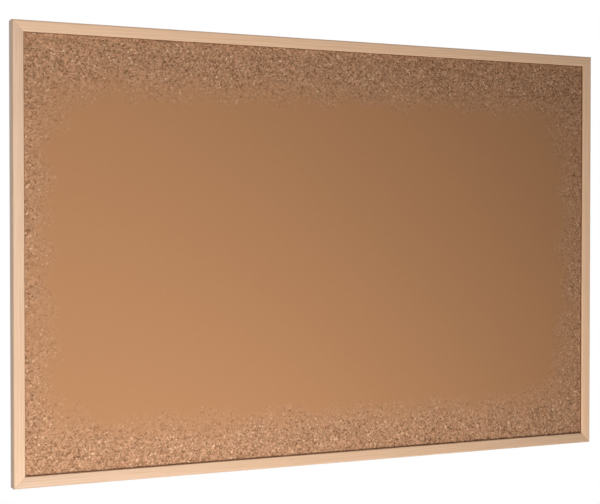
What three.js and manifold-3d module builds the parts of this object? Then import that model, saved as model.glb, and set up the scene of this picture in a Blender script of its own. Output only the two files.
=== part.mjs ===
// A cork pin board in a slim mitred wooden frame, in millimetres with +Z up.
// X runs along the width, -Y is the side that badges are pinned to, and +Y faces the wall.
// The origin lies on the wall plane, in the middle of the top rail's back face.

import * as THREE from "three";
import { mergeVertices } from "three/addons/utils/BufferGeometryUtils.js";
import Module from "manifold-3d";

const wasm = await Module();
wasm.setup();

// Frame moulding
const BOARD_WIDTH = 600;
const BOARD_HEIGHT = 400;
const RAIL_WIDTH = 10;
const LIP_REACH = 4.5; // how far the front lip covers the panel's edge
const LIP_THICKNESS = 2;
const OUTER_ROUND = 1.5;
const SIGHT_ROUND = 0.6;
const BACK_ARRIS = 0.4; // small chamfer on the outer back edge

// Panel, from the front: cork, soft fibreboard, hardboard
const CORK_THICKNESS = 2;
const CORE_THICKNESS = 3;
const BACK_THICKNESS = 1.5;
const PANEL_CLEARANCE = 0.6; // panel edge to rebate wall
const SEAT_GAP = 0.3; // cork face to the back of the lip

// V-nails across the mitres
const NAIL_LEG = 6.5;
const NAIL_SHEET = 0.5;
const NAIL_HEIGHT = 7;
const NAIL_SINK = 0.2; // nail below the frame's back

// Framer's points round the rebate
const POINTS_PER_RAIL = 4;
const POINTS_PER_STILE = 3;
const POINT_WIDTH = 6;
const POINT_TAB = 10.6; // length that lies over the panel
const POINT_SHEET = 0.5;
const POINT_COVER = 2.1; // wood left between the point's tip and the frame's outer face
const POINT_TAPER = 2.2; // length of the sharpened end
const POINT_ROUND = 1.5;
const SLOT_CLEARANCE = 0.3; // round nails and points in the wood, and points to the panel

// D-ring hangers, which lie in a recess behind the panel
const HOOK_INSET = 100; // side of the frame to the middle of a ring
const HOOK_DROP = 2; // raised ring below the framer's points
const RING_WIRE = 1.6;
const RING_SIDE_GAP = 2.5; // strap edge to the inside of the ring
const RING_OPENING = 7.5; // strap end to the inside of the ring's bow
const RING_CORNER = 2;
const RING_BUTT_GAP = 0.4; // between the ends of the bent wire
const BAR_CLEARANCE = 0.2; // wire to the inside of the strap's loop
const STRAP_WIDTH = 8;
const STRAP_SHEET = 0.5;
const STRAP_FOLD_GAP = 0.1; // between the two folded layers
const STRAP_FOLD_ANGLE = 135; // degrees where the loop starts down to the tab
const WALL_CLEARANCE = 0.2; // strap's loop to the wall

// Tubular rivets that hold the straps
const RIVET_RADIUS = 1.6;
const RIVET_WALL = 0.6;
const RIVET_HEAD_FLANGE = 1.2; // beyond the shank
const RIVET_HEAD_HEIGHT = 0.7;
const RIVET_TAIL_FLANGE = 0.8; // beyond the shank
const RIVET_TAIL_HEIGHT = 0.5;
const RIVET_CLEARANCE = 0.2; // in the holes and the pocket
const RIVET_SEAT = 0.1; // flanges to what they clamp
const RIVET_SETBACK = 2.5; // strap's fold to the rivet's head

// Facets
const ROUND_SEGMENTS = 6;
const LOOP_SEGMENTS = 14;
const TURNED_SEGMENTS = 20;
const WIRE_SIDES = 5; // in each half of the wire
const WIRE_STEPS = 60;

// Hanger sizes
const quarterTurn = Math.PI / 2;
const wireRadius = RING_WIRE / 2;
const loopInner = wireRadius + BAR_CLEARANCE;
const loopOuter = loopInner + STRAP_SHEET;
const strapStack = 2 * STRAP_SHEET + STRAP_FOLD_GAP;
const rivetHead = RIVET_RADIUS + RIVET_HEAD_FLANGE;
const rivetTail = RIVET_RADIUS + RIVET_TAIL_FLANGE;
const rivetHole = RIVET_RADIUS + RIVET_CLEARANCE;
const rivetDrop = -foldFoot(loopOuter, strapStack) + RIVET_SETBACK + rivetHead;
const strapLength = rivetDrop + STRAP_WIDTH / 2;
const ringHalfWidth = STRAP_WIDTH / 2 + RING_SIDE_GAP + wireRadius;
const ringDrop = strapLength + RING_OPENING + wireRadius;

// Depths, measured along Y from the wall plane
const panelRear = -2 * loopOuter - WALL_CLEARANCE;
const backFront = panelRear - BACK_THICKNESS;
const coreFront = backFront - CORE_THICKNESS;
const corkFront = coreFront - CORK_THICKNESS;
const frameDepth = LIP_THICKNESS + SEAT_GAP - corkFront;

// Outlines, seen from the front
const backFaceWidth = RAIL_WIDTH - LIP_REACH;
const panelWidth = BOARD_WIDTH - 2 * (backFaceWidth + PANEL_CLEARANCE);
const panelHeight = BOARD_HEIGHT - 2 * (backFaceWidth + PANEL_CLEARANCE);
const nailInset = (backFaceWidth - NAIL_SHEET) / 2;
const pointBite = backFaceWidth - POINT_COVER;
const hookOffset = BOARD_WIDTH / 2 - HOOK_INSET;
const ringAxisHeight = BOARD_HEIGHT / 2 - backFaceWidth - POINT_TAB - HOOK_DROP - ringDrop - wireRadius;

// Finishes
const wood = { color: 0xe3bb93, roughness: 0.55, metalness: 0 };
const cork = { color: 0xab7d58, roughness: 0.95, metalness: 0 };
const fibreboard = { color: 0xb79a73, roughness: 0.95, metalness: 0 };
const hardboard = { color: 0x6f4a2f, roughness: 0.7, metalness: 0 };
const blueSteel = { color: 0x6d7175, roughness: 0.45, metalness: 1 };
const nickelSteel = { color: 0xb9bbbd, roughness: 0.3, metalness: 1 };

function mesh(name, geometry, finish) {
  const piece = new THREE.Mesh(geometry, new THREE.MeshStandardMaterial(finish));
  piece.name = name;
  return piece;
}

// A closed geometry as a solid that can be cut and joined
function solidOf(geometry) {
  const bare = geometry.clone();
  bare.deleteAttribute("normal");
  bare.deleteAttribute("uv");
  const merged = mergeVertices(bare);
  const vertProperties = new Float32Array(merged.attributes.position.array);
  const triVerts = new Uint32Array(merged.index.array);
  return new wasm.Manifold(new wasm.Mesh({ numProp: 3, vertProperties, triVerts }));
}

function geometryOf(solid) {
  const { vertProperties, triVerts } = solid.getMesh();
  const geometry = new THREE.BufferGeometry();
  geometry.setAttribute("position", new THREE.BufferAttribute(vertProperties, 3));
  geometry.setIndex(new THREE.BufferAttribute(triVerts, 1));
  geometry.computeVertexNormals();
  return geometry;
}

function cut(geometry, cutters) {
  return geometryOf(cutters.reduce((solid, cutter) => solid.subtract(solidOf(cutter)), solidOf(geometry)));
}

function extrude(shape, depth, curveSegments = ROUND_SEGMENTS) {
  return new THREE.ExtrudeGeometry(shape, { depth, bevelEnabled: false, curveSegments });
}

// Moulding section: x inwards from the frame's outer face, y forwards from the wall
function mouldingSection() {
  const section = new THREE.Shape();
  section.moveTo(BACK_ARRIS, 0);
  section.lineTo(backFaceWidth, 0);
  section.lineTo(backFaceWidth, frameDepth - LIP_THICKNESS);
  section.lineTo(RAIL_WIDTH, frameDepth - LIP_THICKNESS);
  section.absarc(RAIL_WIDTH - SIGHT_ROUND, frameDepth - SIGHT_ROUND, SIGHT_ROUND, 0, quarterTurn);
  section.absarc(OUTER_ROUND, frameDepth - OUTER_ROUND, OUTER_ROUND, quarterTurn, Math.PI);
  section.lineTo(0, BACK_ARRIS);
  return section;
}

// A length of moulding along X with its outer face up at z = 0, both ends cut at 45 degrees
function mitredRail(length) {
  const rail = extrude(mouldingSection(), 1);
  const position = rail.attributes.position;
  for (let i = 0; i < position.count; i += 1) {
    const inward = position.getX(i);
    const forward = position.getY(i);
    const end = position.getZ(i) > 0 ? -1 : 1;
    position.setXYZ(i, end * (length / 2 - inward), -forward, -inward);
  }
  return rail;
}

// Right-angled V-nail for the top left corner, whose outer corner is at x = z = 0
function vNail(grow, top, bottom) {
  const near = nailInset - grow;
  const far = nailInset + NAIL_LEG + grow;
  const inside = nailInset + NAIL_SHEET + grow;
  const outline = new THREE.Shape();
  outline.moveTo(near, -near);
  outline.lineTo(near, -far);
  outline.lineTo(inside, -far);
  outline.lineTo(inside, -inside);
  outline.lineTo(far, -inside);
  outline.lineTo(far, -near);
  const nail = extrude(outline, top - bottom);
  nail.rotateX(quarterTurn);
  nail.translate(0, top, 0);
  return nail;
}

function nailSlot(length, end) {
  const slot = vNail(SLOT_CLEARANCE, SLOT_CLEARANCE, -NAIL_HEIGHT - SLOT_CLEARANCE);
  slot.rotateY(end > 0 ? quarterTurn : 0);
  slot.translate((end * length) / 2, 0, 0);
  return slot;
}

// Flat point whose sharp end is in the wood at z > 0 and whose tab lies over the panel at z < 0
function framerPoint() {
  const half = POINT_WIDTH / 2;
  const shoulder = POINT_TAPER - pointBite;
  const outline = new THREE.Shape();
  outline.moveTo(0, -pointBite);
  outline.lineTo(half, shoulder);
  outline.absarc(half - POINT_ROUND, POINT_TAB - POINT_ROUND, POINT_ROUND, 0, quarterTurn);
  outline.absarc(POINT_ROUND - half, POINT_TAB - POINT_ROUND, POINT_ROUND, quarterTurn, Math.PI);
  outline.lineTo(-half, shoulder);
  return extrude(outline, POINT_SHEET).rotateX(-quarterTurn);
}

function pointSlot(x) {
  const slot = new THREE.BoxGeometry(
    POINT_WIDTH + 2 * SLOT_CLEARANCE,
    POINT_SHEET + 2 * SLOT_CLEARANCE,
    2 * (pointBite + SLOT_CLEARANCE),
  );
  return slot.translate(x, panelRear + SLOT_CLEARANCE + POINT_SHEET / 2, -backFaceWidth);
}

// One side of the frame: its rail and the points driven into it, turned about Y to its place
function frameSide(railName, pointName, pointCount, length, distance, panelLength, turns) {
  const places = Array.from({ length: pointCount }, (_, i) => ((i + 0.5) / pointCount - 0.5) * panelLength);
  const slots = [nailSlot(length, -1), nailSlot(length, 1), ...places.map(pointSlot)];
  const side = new THREE.Group();
  side.add(mesh(railName, cut(mitredRail(length), slots), wood));
  places.forEach((x, i) => {
    const point = mesh(`${pointName}_${i + 1}`, framerPoint(), blueSteel);
    point.position.set(x, panelRear + SLOT_CLEARANCE, -backFaceWidth);
    side.add(point);
  });
  side.children.forEach((piece) => (piece.position.z += distance));
  side.rotation.y = turns * quarterTurn;
  return side;
}

function cornerNail(corner, right, up, turns) {
  const nail = mesh(`v_nail_${corner}`, vNail(0, -NAIL_SINK, -NAIL_HEIGHT), blueSteel);
  nail.rotation.y = turns * quarterTurn;
  nail.position.set((right * BOARD_WIDTH) / 2, 0, (up * BOARD_HEIGHT) / 2);
  return nail;
}

// Panel layers, with holes for the rivets where a layer has them
function panelLayer(front, thickness) {
  return new THREE.BoxGeometry(panelWidth, thickness, panelHeight).translate(0, front + thickness / 2, 0);
}

function rivetHoles(radius, front, rear) {
  return [-1, 1].map((side) =>
    new THREE.CylinderGeometry(radius, radius, rear - front, TURNED_SEGMENTS).translate(
      side * hookOffset,
      (front + rear) / 2,
      ringAxisHeight - rivetDrop,
    ),
  );
}

function coreBoard() {
  const pocketDepth = RIVET_SEAT + RIVET_TAIL_HEIGHT + RIVET_CLEARANCE;
  const pockets = rivetHoles(rivetTail + RIVET_CLEARANCE, backFront - pocketDepth, backFront + pocketDepth);
  return cut(panelLayer(coreFront, CORE_THICKNESS), pockets);
}

function backBoard() {
  const holes = rivetHoles(rivetHole, backFront - BACK_THICKNESS, panelRear + BACK_THICKNESS);
  return cut(panelLayer(backFront, BACK_THICKNESS), holes);
}

// Hanger pieces stand on y = 0, the back board's rear, with the ring's axis over z = 0

// Where a face of the strap's loop, running straight down from it, comes to a height on the tab
function foldFoot(radius, height) {
  const leave = THREE.MathUtils.degToRad(STRAP_FOLD_ANGLE);
  const startX = radius * Math.cos(leave);
  const startY = loopOuter + radius * Math.sin(leave);
  return startX - (startY - height) / Math.tan(leave - quarterTurn);
}

// Strip of steel folded round the ring's bar: x is up the strap, y is away from the back board
function strapSection() {
  const leave = THREE.MathUtils.degToRad(STRAP_FOLD_ANGLE);
  const innerLayer = STRAP_SHEET + STRAP_FOLD_GAP;
  const section = new THREE.Shape();
  section.moveTo(-strapLength, 0);
  section.absarc(0, loopOuter, loopOuter, -quarterTurn, leave);
  section.lineTo(foldFoot(loopOuter, strapStack), strapStack);
  section.lineTo(-strapLength, strapStack);
  section.lineTo(-strapLength, innerLayer);
  section.lineTo(foldFoot(loopInner, innerLayer), innerLayer);
  section.absarc(0, loopOuter, loopInner, leave, -quarterTurn, true);
  section.lineTo(-strapLength, STRAP_SHEET);
  return section;
}

// Plan of the strap: straight sides and a round lower end
function strapPlan() {
  const half = STRAP_WIDTH / 2;
  const top = 2 * loopOuter;
  const plan = new THREE.Shape();
  plan.moveTo(half, top);
  plan.lineTo(-half, top);
  plan.absarc(0, half - strapLength, half, Math.PI, 2 * Math.PI);
  return plan;
}

function hangerStrap() {
  const strip = extrude(strapSection(), 2 * STRAP_WIDTH, LOOP_SEGMENTS);
  strip.rotateY(-quarterTurn).translate(STRAP_WIDTH, 0, 0);
  const height = 4 * loopOuter;
  const plan = extrude(strapPlan(), height, LOOP_SEGMENTS).rotateX(quarterTurn).translate(0, height / 2, 0);
  const hole = new THREE.CylinderGeometry(rivetHole, rivetHole, height, TURNED_SEGMENTS);
  hole.translate(0, 0, -rivetDrop);
  return geometryOf(solidOf(strip).intersect(solidOf(plan)).subtract(solidOf(hole)));
}

// Quarter or half circle of the ring's wire, in the XZ plane
class WireBend extends THREE.Curve {
  constructor(centreX, centreZ, radius, startAngle, endAngle) {
    super();
    Object.assign(this, { centreX, centreZ, radius, startAngle, endAngle });
  }

  getPoint(t, target = new THREE.Vector3()) {
    const angle = THREE.MathUtils.lerp(this.startAngle, this.endAngle, t);
    const x = this.centreX + this.radius * Math.cos(angle);
    return target.set(x, 0, this.centreZ + this.radius * Math.sin(angle));
  }
}

// D-shaped ring of bent wire, hanging down from its bar on the X axis
function hangerRing() {
  const at = (x, z) => new THREE.Vector3(x, 0, z);
  const a = ringHalfWidth;
  const barEnd = a - RING_CORNER;
  const bowHeight = a - ringDrop;
  const path = new THREE.CurvePath();
  path.add(new THREE.LineCurve3(at(RING_BUTT_GAP / 2, 0), at(barEnd, 0)));
  path.add(new WireBend(barEnd, -RING_CORNER, RING_CORNER, quarterTurn, 0));
  path.add(new THREE.LineCurve3(at(a, -RING_CORNER), at(a, bowHeight)));
  path.add(new WireBend(0, bowHeight, a, 0, -Math.PI));
  path.add(new THREE.LineCurve3(at(-a, bowHeight), at(-a, -RING_CORNER)));
  path.add(new WireBend(-barEnd, -RING_CORNER, RING_CORNER, Math.PI, quarterTurn));
  path.add(new THREE.LineCurve3(at(-barEnd, 0), at(-RING_BUTT_GAP / 2, 0)));
  const wire = new THREE.Shape();
  wire.absarc(0, 0, wireRadius, 0, 2 * Math.PI);
  const options = { extrudePath: path, steps: WIRE_STEPS, curveSegments: WIRE_SIDES, bevelEnabled: false };
  return new THREE.ExtrudeGeometry(wire, options).translate(0, loopOuter, 0);
}

// Hollow rivet from its flared tail inside the panel to its head on the strap
function hangerRivet() {
  const tailTop = -BACK_THICKNESS - RIVET_SEAT;
  const tailBottom = tailTop - RIVET_TAIL_HEIGHT;
  const headBottom = strapStack + RIVET_SEAT;
  const headTop = headBottom + RIVET_HEAD_HEIGHT;
  const headEdge = headBottom + RIVET_HEAD_HEIGHT / 2;
  const headCrown = RIVET_RADIUS + RIVET_HEAD_FLANGE / 2;
  const bore = RIVET_RADIUS - RIVET_WALL;
  const profile = [
    [bore, tailBottom],
    [rivetTail, tailBottom],
    [rivetTail, tailTop],
    [RIVET_RADIUS, tailTop],
    [RIVET_RADIUS, headBottom],
    [rivetHead, headBottom],
    [rivetHead, headEdge],
    [headCrown, headTop],
    [bore, headTop],
    [bore, tailBottom],
  ].map(([radius, height]) => new THREE.Vector2(radius, height));
  return new THREE.LatheGeometry(profile, TURNED_SEGMENTS).translate(0, 0, -rivetDrop);
}

function hanger(name, side) {
  const group = new THREE.Group();
  group.add(mesh(`${name}_strap`, hangerStrap(), nickelSteel));
  group.add(mesh(`${name}_ring`, hangerRing(), nickelSteel));
  group.add(mesh(`${name}_rivet`, hangerRivet(), nickelSteel));
  group.position.set(side * hookOffset, panelRear, ringAxisHeight);
  return group;
}

// Laid out about the middle of the board, then moved so that the origin is on the top rail's back
const board = new THREE.Group();
board.add(
  frameSide("top_rail", "point_top", POINTS_PER_RAIL, BOARD_WIDTH, BOARD_HEIGHT / 2, panelWidth, 0),
  frameSide("right_stile", "point_right", POINTS_PER_STILE, BOARD_HEIGHT, BOARD_WIDTH / 2, panelHeight, 1),
  frameSide("bottom_rail", "point_bottom", POINTS_PER_RAIL, BOARD_WIDTH, BOARD_HEIGHT / 2, panelWidth, 2),
  frameSide("left_stile", "point_left", POINTS_PER_STILE, BOARD_HEIGHT, BOARD_WIDTH / 2, panelHeight, 3),
  mesh("cork_sheet", panelLayer(corkFront, CORK_THICKNESS), cork),
  mesh("core_board", coreBoard(), fibreboard),
  mesh("back_board", backBoard(), hardboard),
  cornerNail("top_left", -1, 1, 0),
  cornerNail("top_right", 1, 1, 1),
  cornerNail("bottom_right", 1, -1, 2),
  cornerNail("bottom_left", -1, -1, 3),
  hanger("left", -1),
  hanger("right", 1),
);
board.position.z = backFaceWidth / 2 - BOARD_HEIGHT / 2;

const part = new THREE.Group();
part.add(board);

export default part;
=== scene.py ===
"""Looks of a cork pin board in a slim mitred wooden frame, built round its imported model.

Metres, +Z up: X runs along the board, -Y is the side that badges are pinned to, +Y faces the wall.
"""
import math

import bmesh
import bpy
from mathutils import Matrix, Vector


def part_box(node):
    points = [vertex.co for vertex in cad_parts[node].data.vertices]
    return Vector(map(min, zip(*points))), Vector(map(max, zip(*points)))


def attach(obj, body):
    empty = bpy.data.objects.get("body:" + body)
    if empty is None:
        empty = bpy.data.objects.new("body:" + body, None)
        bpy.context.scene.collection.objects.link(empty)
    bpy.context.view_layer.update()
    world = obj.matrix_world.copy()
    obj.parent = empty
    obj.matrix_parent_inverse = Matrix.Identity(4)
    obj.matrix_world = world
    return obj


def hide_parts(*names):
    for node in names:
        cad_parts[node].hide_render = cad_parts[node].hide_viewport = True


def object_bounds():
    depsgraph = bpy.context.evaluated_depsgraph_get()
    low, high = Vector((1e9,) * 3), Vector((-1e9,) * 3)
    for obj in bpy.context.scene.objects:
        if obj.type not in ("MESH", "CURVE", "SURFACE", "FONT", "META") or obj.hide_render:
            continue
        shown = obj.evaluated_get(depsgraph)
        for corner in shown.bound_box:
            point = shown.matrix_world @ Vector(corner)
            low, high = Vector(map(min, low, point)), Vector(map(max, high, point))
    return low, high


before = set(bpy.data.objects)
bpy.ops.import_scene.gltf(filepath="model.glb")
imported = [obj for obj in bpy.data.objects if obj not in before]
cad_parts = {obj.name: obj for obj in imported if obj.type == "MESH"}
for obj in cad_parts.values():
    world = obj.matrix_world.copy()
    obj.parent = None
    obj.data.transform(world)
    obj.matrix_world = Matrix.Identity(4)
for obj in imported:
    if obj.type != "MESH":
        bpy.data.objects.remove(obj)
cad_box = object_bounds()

MM = 0.001
USUAL_NOISE = (0.3, 0.7)  # where most of a noise's values lie
SAME_PLACE = 0.001 * MM  # corners nearer than this are one
CUT_TOLERANCE = 0.0001 * MM

# Frame moulding, as the maker would run it
REBATE_WALL = 5.5 * MM  # outer face to the rebate
LIP_THICKNESS = 2 * MM
OUTER_ROUND = 1.5 * MM
SIGHT_ROUND = 0.6 * MM
BACK_ARRIS = 0.4 * MM
MITRE_EASE = 0.12 * MM  # arris taken off the edges of each mitre
ROUND_STEPS = 8
WOOD_CREASE = 30  # degrees of turn past which an edge stays sharp, as the other creases
NAIL_SHEET = 0.5 * MM
SLOT_CLEARANCE = 0.3 * MM

# Tone of each stick at its left or lower end and at its other end, painted light: paler where the lamps fall
# dimmer and darker where they fall brighter, to even out the frame
PAINTED_STICK_TONES = {
    "top_rail": (0.98, 1.19),
    "bottom_rail": (0.68, 0.82),
    "left_stile": (0.795, 0.785),
    "right_stile": (1.12, 1.19),
}

# Where the middle of each stick lies along the plank that its grain comes from, in metres
GRAIN_PLACES = {
    "top_rail": 0.0,
    "bottom_rail": 1.3,
    "left_stile": 2.9,
    "right_stile": 4.1,
}

# Pine, with waves counted per metre along a stick, inward and forward
RING_SPACING = 2.4 * MM
RING_LEAN = 0.5  # inward step of a growth ring for each step forward
RING_WOBBLE = 8 * MM  # how far a growth ring strays along a stick
RING_WAVES = (2.5, 90, 90)
RING_DARKNESS = 0.36
FAINTEST_RING = 0.2  # share of that in the faintest ring
LATE_WOOD_STARTS = 0.1  # share of a year's growth
LATE_WOOD_DARKEST = 0.8
FIBRE_WAVES = (22, 2400, 2400)
STREAK_EDGES = (0.32, 0.68)  # noise from no streak to a full one, as the resin's
STREAK_DARKNESS = 0.5
RESIN_WAVES = (120, 3600, 3600)
RESIN_EDGES = (0.66, 0.76)
RESIN_DARKNESS = 0.25
RESIN_DIP = 0.6
GLUE_DARKNESS = 0.45  # of the line in a mitre
PINE_ROUGHNESS = (0.42, 0.56)
PINE_RELIEF = 0.03 * MM
LACQUER = 0.15  # weight of the clear coat
LACQUER_ROUGHNESS = 0.3

# Cork granules
GRANULE = 2.4 * MM
GRANULE_WANDER = 0.38  # share of a granule by which its middle strays
GRANULE_CROWN = 0.2 * MM  # highest that a granule's middle stands
LOWEST_CROWN = 0.2  # share of that in the flattest granule
GRANULE_TILT = 0.08 * MM  # highest and lowest that its corners stand
PIT_DEPTH = 0.6 * MM  # deepest void between granules
PIT_SHARE = 0.35  # corners with a void
SHALLOWEST_PIT = 0.5  # share of the depth in the shallowest void
DEEPEST_DIMPLE = 0.4  # and at most at the other corners
GRANULE_SEED = 7
RIM_NEAR = 0.01 * MM  # corners of the sheet nearer to its rim than this lie on it

# Wear of the cork, which grows from the frame to a smooth middle
RUBBED_BELOW = 0.12  # graininess under which the face is flat
WORN_SIDES = 0.44  # wear right beside the left and right sight edges, from 0 to 1
FADE_SIDES = 78 * MM  # over which wear would grow by 1 from there
FADE_ENDS = 62 * MM  # the same at the top and bottom, from no wear
SMOOTH_DROP = 4 * MM  # smooth middle below the sheet's middle
SMOOTH_LEFT = 2.5 * MM  # and to the left of it
SMOOTH_CORNERS = 1.3  # how softly the wear from sides and ends joins in the corners
BORDER_WAVES = 40  # per metre, round the smooth middle
BORDER_DRIFT = 0.6  # wear between their crests and troughs
WEAR_SHOWS = 0.3  # wear at which the grain starts to fade
WEAR_ENDS = 0.95  # and is gone

# Colours within the cork
CHIP_CONTRAST = 0.15  # between whole granules
CRUMBS_PER_METRE = 700  # crisp crumbs that show in a granule
CRUMB_CONTRAST = 0.55
SPECKS_PER_METRE = 1400
SPECK_CONTRAST = 0.7
RUBBED_CONTRAST = 0.06  # share of all these contrasts in the smooth middle
SEAM_WIDTH = 0.1  # share of a crumb
SEAM_DARKNESS = 0.25
SEAM_DIP = 0.5
BARK_SHARE = 0.06  # crumbs that are dark bark
BARK_DARKNESS = 0.6
FLECK_SHARE = 0.03  # crumbs that are very pale
FLECK_PALENESS = 0.6
# painted shade in the voids and the skived margin, darker the deeper they are
PIT_PAINTED_SHADE = 0.8
CORK_ROUGHNESS = 0.9
CORK_SHINE = 0.2
CORK_RELIEF = 0.2 * MM

# Skived margin of the cork, sunk behind the frame's lip and painted dark as shade, which shows as a dark
# line beside the lip
SKIVE_DEPTH = 0.6 * MM
SKIVE_PAINTED_SHADE = 0.85  # painted shade, as dark as a void of this depth, from 0 to 1
SKIVE_SLOPE = 0.3 * MM
SKIVE_BOTTOM = 0.75 * MM  # reach into view
SKIVE_SIDES = 0.8 * MM
SKIVE_TOP = 0.4 * MM

# Fibreboard and hardboard, with waves counted per metre along X, Y and Z
FELT_WAVES = (180, 900, 240)
CLUMPS_PER_METRE = 90
CLUMP_WEIGHT = 0.4
FIBREBOARD_ROUGHNESS = 0.95
FIBREBOARD_SHINE = 0.2
FIBREBOARD_RELIEF = 0.2 * MM
SCREEN_PITCH = 1.5 * MM
SCREEN_DARKNESS = 0.4
PULP_WAVES = (420, 420, 120)
PULP_RELIEF = 0.5  # share of the screen's
CLOUDS_PER_METRE = 14
CLOUD_WEIGHT = 0.5
HARDBOARD_ROUGHNESS = (0.6, 0.8)
HARDBOARD_RELIEF = 0.12 * MM

# Steel
ROLLING_WAVES = (260, 9000, 9000)
SMUDGES_PER_METRE = 320
SMUDGE_WEIGHT = 0.6
BLUED_ROUGHNESS = (0.32, 0.5)
NICKEL_ROUGHNESS = (0.2, 0.36)
STEEL_RELIEF = 0.01 * MM
STEEL_CREASE = 40

# Framer's points
POINT_BITE = 3.4 * MM  # length in the wood
POINT_TAPER = 2.2 * MM
POINT_ROUND = 1.5 * MM
POINT_ARRIS = 0.08 * MM
POINT_RIM = 60  # degrees of turn past which an edge is a rim

# D-ring hangers
WIRE_RADIUS = 0.8 * MM
RING_CORNER = 2 * MM
RING_BUTT_GAP = 0.4 * MM
BEND_STEPS = 10
BOW_STEPS = 40
WIRE_SIDES = 16
STRAP_ARRIS = 0.07 * MM
STRAP_EDGE = 40  # degrees of turn past which an edge is softened
STRAP_CREASE = 35
SAME_FACE = 1  # degrees of turn under which faces are one
ARRIS_STEPS = 2
ARRIS_PROFILE = 0.5  # round

# Camera, from the photograph's edges, with angles in degrees
IMAGE_WIDTH = 600
FOCAL_PIXELS = 1309.9
SENSOR_WIDTH = 36
CAMERA_FROM_FACE = Vector((-540.2, -1112.1, 23.2)) * MM
CAMERA_PITCH = -1.063
CAMERA_YAW = -24.558

# Light, with places and aims from the middle of the board's face
MAIN_SIZE = 0.5
MAIN_FROM_FACE = Vector((-0.450, -0.899, 0.131))
MAIN_AIM = Vector((-0.618, 0, -0.698))
MAIN_POWER = 8.65
LOW_SIZE = 0.2
LOW_FROM_FACE = Vector((-0.206, -0.531, -0.517))
LOW_AIM = Vector((0.075, 0, -0.397))
LOW_POWER = 3.60
FRONT_FILL = 0.06
REAR_FILL = 0.85
REAR_FROM = 0.6  # Y of a direction past which the rear fill is full

# Floor
FLOOR_DROP = 0.6  # below the board's bottom edge
FLOOR_RADIUS = 1.2
FLOOR_SIDES = 96
FLOOR_FADES = 0.55 * FLOOR_RADIUS  # where it starts to whiten
FLOOR_WHITE = 0.98 * FLOOR_RADIUS  # and where it is white
FLOOR_LIFT = 0.45  # glow that makes it paler to the camera

board_low, board_high = cad_box
board_width = board_high.x - board_low.x
board_height = board_high.z - board_low.z
board_depth = board_high.y - board_low.y
board_middle = (board_low + board_high) / 2
face_middle = Vector((board_middle.x, board_low.y, board_middle.z))
rail_low, rail_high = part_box("top_rail")
rail_width = rail_high.z - rail_low.z


# Node trees

def fill_inputs(tree, node, inputs):
    """Sets or links inputs of a node."""
    for key, value in inputs.items():
        if isinstance(value, bpy.types.NodeSocket):
            tree.links.new(value, node.inputs[key])
        else:
            node.inputs[key].default_value = value


def add_node(tree, kind, inputs=None, **settings):
    """A node with its settings made and its inputs set or linked."""
    node = tree.nodes.new(kind)
    for name, value in settings.items():
        setattr(node, name, value)
    fill_inputs(tree, node, inputs or {})
    return node


def maths(tree, operation, *values):
    return add_node(tree, "ShaderNodeMath", dict(enumerate(values)), operation=operation).outputs[0]


def times(tree, first, second):
    return maths(tree, "MULTIPLY", first, second)


def minus(tree, first, second):
    return maths(tree, "SUBTRACT", first, second)


def ramp(tree, value, low, high, to_low=0.0, to_high=1.0, smooth=True):
    """Value from low to high as a number from to_low to to_high, held at both ends."""
    inputs = {0: value, 1: low, 2: high, 3: to_low, 4: to_high}
    kind = "SMOOTHSTEP" if smooth else "LINEAR"
    return add_node(tree, "ShaderNodeMapRange", inputs, interpolation_type=kind).outputs[0]


def noise(tree, place, scale, detail=2.0, roughness=0.5):
    inputs = {"Vector": place, "Scale": scale, "Detail": detail, "Roughness": roughness}
    return add_node(tree, "ShaderNodeTexNoise", inputs).outputs[0]


def stretched_noise(tree, place, waves, detail=2.0, roughness=0.5):
    """Noise with a number of waves per metre of its own along each axis."""
    placed = add_node(tree, "ShaderNodeMapping", {"Vector": place, "Scale": waves}).outputs[0]
    return noise(tree, placed, 1.0, detail, roughness)


def spread(tree, pattern, least, most):
    """A noise's usual values as numbers from least to most."""
    return ramp(tree, pattern, *USUAL_NOISE, least, most)


def weighed(tree, first, second, weight):
    """Two patterns in one, with this weight on the first and the rest on the second."""
    rest = times(tree, second, 1 - weight)
    return maths(tree, "MULTIPLY_ADD", first, weight, rest)


def mix_colour(tree, share, first, second):
    inputs = {0: share, 6: first, 7: second}
    return add_node(tree, "ShaderNodeMix", inputs, data_type="RGBA").outputs[2]


def tinted(tree, colour, mask, strength, tint):
    """Colour that goes towards a tint where the mask is high."""
    return mix_colour(tree, times(tree, mask, strength), colour, tint)


def rgb(red, green, blue):
    return (red, green, blue, 1.0)


# Materials

def new_material(name):
    """A named material with its tree and its one surface shader."""
    material = bpy.data.materials.new(name)
    material.use_nodes = True
    return material, material.node_tree, material.node_tree.nodes["Principled BSDF"]


def carried(tree, name, output="Fac"):
    """Something that the piece's mesh carries, as a number or a vector."""
    return add_node(tree, "ShaderNodeAttribute", attribute_name=name).outputs[output]


def object_place(tree):
    return add_node(tree, "ShaderNodeTexCoord").outputs["Object"]


def parted(tree, place):
    """The X, Y and Z of a place."""
    return add_node(tree, "ShaderNodeSeparateXYZ", {0: place}).outputs


def dent(tree, surface, height, distance, strength):
    """Fine relief on a surface."""
    inputs = {"Height": height, "Distance": distance, "Strength": strength}
    tree.links.new(add_node(tree, "ShaderNodeBump", inputs).outputs[0], surface.inputs["Normal"])


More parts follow.
